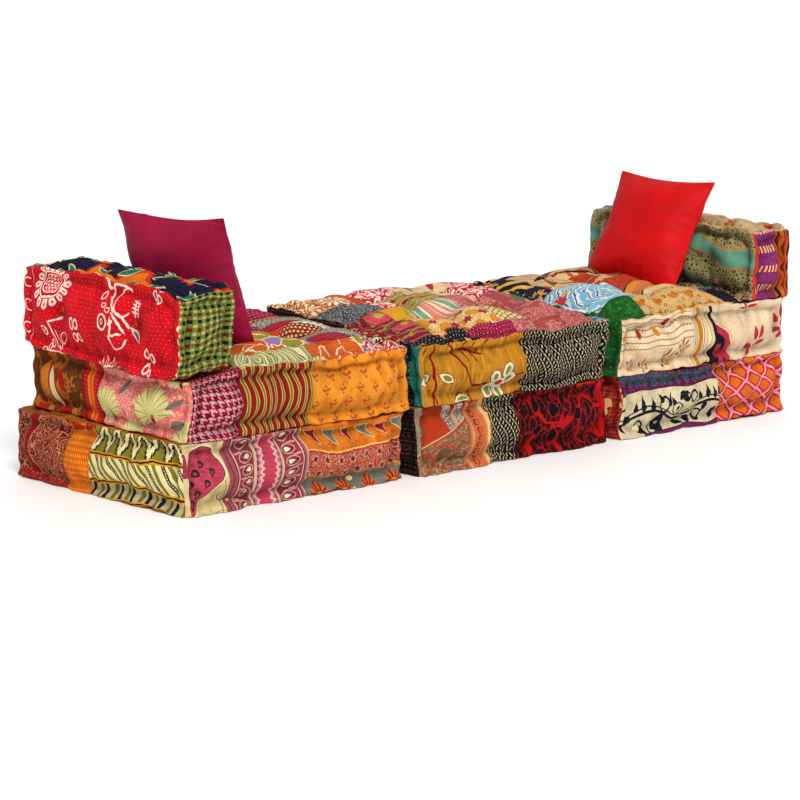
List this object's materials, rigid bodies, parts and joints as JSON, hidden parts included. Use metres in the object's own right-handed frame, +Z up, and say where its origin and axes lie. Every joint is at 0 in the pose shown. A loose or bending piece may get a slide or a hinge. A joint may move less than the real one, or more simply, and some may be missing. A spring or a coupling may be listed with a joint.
{
  "type": "modular floor sofa",
  "caption": "Low modular floor sofa of stacked patchwork mattress cushions side by side, with block arm cushions and throw pillows.",
  "frame": {"origin": "on the floor under the middle of the sofa's overall box", "axes": "+X along the sofa towards its right-hand end as seen from the front, -Y is the front, +Z up"},
  "size_m": [2.214, 0.6072, 0.6661],
  "materials": {
    "patchwork_top": "hand-stitched printed cotton patchwork",
    "patchwork_side": "hand-stitched printed cotton patchwork",
    "patchwork_underside": "printed cotton",
    "cotton_wadding": "loose cotton wadding",
    "tufting_cord": "twisted cotton cord",
    "magenta_pillow_cloth": "plain woven cotton",
    "red_pillow_cloth": "plain woven cotton",
    "pillow_fibre": "fibre insert",
    "zip_coil": "nylon coil zip"
  },
  "bodies": {
    "base_left": {"base_left_top_panel": "patchwork_top", "base_left_side_band": "patchwork_side", "base_left_bottom_panel": "patchwork_underside", "base_left_filling": "cotton_wadding", "base_left_tuft_ties": "tufting_cord"},
    "base_middle": {"base_middle_top_panel": "patchwork_top", "base_middle_side_band": "patchwork_side", "base_middle_bottom_panel": "patchwork_underside", "base_middle_filling": "cotton_wadding", "base_middle_tuft_ties": "tufting_cord"},
    "base_right": {"base_right_top_panel": "patchwork_top", "base_right_side_band": "patchwork_side", "base_right_bottom_panel": "patchwork_underside", "base_right_filling": "cotton_wadding", "base_right_tuft_ties": "tufting_cord"},
    "seat_left": {"seat_left_top_panel": "patchwork_top", "seat_left_side_band": "patchwork_side", "seat_left_bottom_panel": "patchwork_underside", "seat_left_filling": "cotton_wadding", "seat_left_tuft_ties": "tufting_cord"},
    "seat_middle": {"seat_middle_top_panel": "patchwork_top", "seat_middle_side_band": "patchwork_side", "seat_middle_bottom_panel": "patchwork_underside", "seat_middle_filling": "cotton_wadding", "seat_middle_tuft_ties": "tufting_cord"},
    "seat_right": {"seat_right_top_panel": "patchwork_top", "seat_right_side_band": "patchwork_side", "seat_right_bottom_panel": "patchwork_underside", "seat_right_filling": "cotton_wadding", "seat_right_tuft_ties": "tufting_cord"},
    "arm_left": {"arm_left_top_panel": "patchwork_top", "arm_left_side_band": "patchwork_side", "arm_left_bottom_panel": "patchwork_underside", "arm_left_filling": "cotton_wadding", "arm_left_tuft_ties": "tufting_cord"},
    "arm_right": {"arm_right_top_panel": "patchwork_top", "arm_right_side_band": "patchwork_side", "arm_right_bottom_panel": "patchwork_underside", "arm_right_filling": "cotton_wadding", "arm_right_tuft_ties": "tufting_cord"},
    "pillow_left": {"pillow_left_front_panel": "magenta_pillow_cloth", "pillow_left_back_panel": "magenta_pillow_cloth", "pillow_left_insert": "pillow_fibre", "pillow_left_zip": "zip_coil"},
    "pillow_right": {"pillow_right_front_panel": "red_pillow_cloth", "pillow_right_back_panel": "red_pillow_cloth", "pillow_right_insert": "pillow_fibre", "pillow_right_zip": "zip_coil"}
  },
  "joints": [
    {"name": "base_left_slide", "type": "slide", "parent": "base_middle", "child": "base_left", "axis": [-1, 0, 0], "range_m": [0, 0.4]},
    {"name": "base_right_slide", "type": "slide", "parent": "base_middle", "child": "base_right", "axis": [1, 0, 0], "range_m": [0, 0.4]},
    {"name": "seat_left_lift", "type": "slide", "parent": "base_left", "child": "seat_left", "axis": [0, 0, 1], "range_m": [0, 0.3]},
    {"name": "seat_middle_lift", "type": "slide", "parent": "base_middle", "child": "seat_middle", "axis": [0, 0, 1], "range_m": [0, 0.3]},
    {"name": "seat_right_lift", "type": "slide", "parent": "base_right", "child": "seat_right", "axis": [0, 0, 1], "range_m": [0, 0.3]},
    {"name": "arm_left_lift", "type": "slide", "parent": "seat_left", "child": "arm_left", "axis": [0, 0, 1], "range_m": [0, 0.3]},
    {"name": "pillow_left_lift", "type": "slide", "parent": "arm_left", "child": "pillow_left", "axis": [0, 0, 1], "range_m": [0, 0.35]},
    {"name": "arm_right_lift", "type": "slide", "parent": "seat_right", "child": "arm_right", "axis": [0, 0, 1], "range_m": [0, 0.3]},
    {"name": "pillow_right_lift", "type": "slide", "parent": "arm_right", "child": "pillow_right", "axis": [0, 0, 1], "range_m": [0, 0.35]}
  ]
}
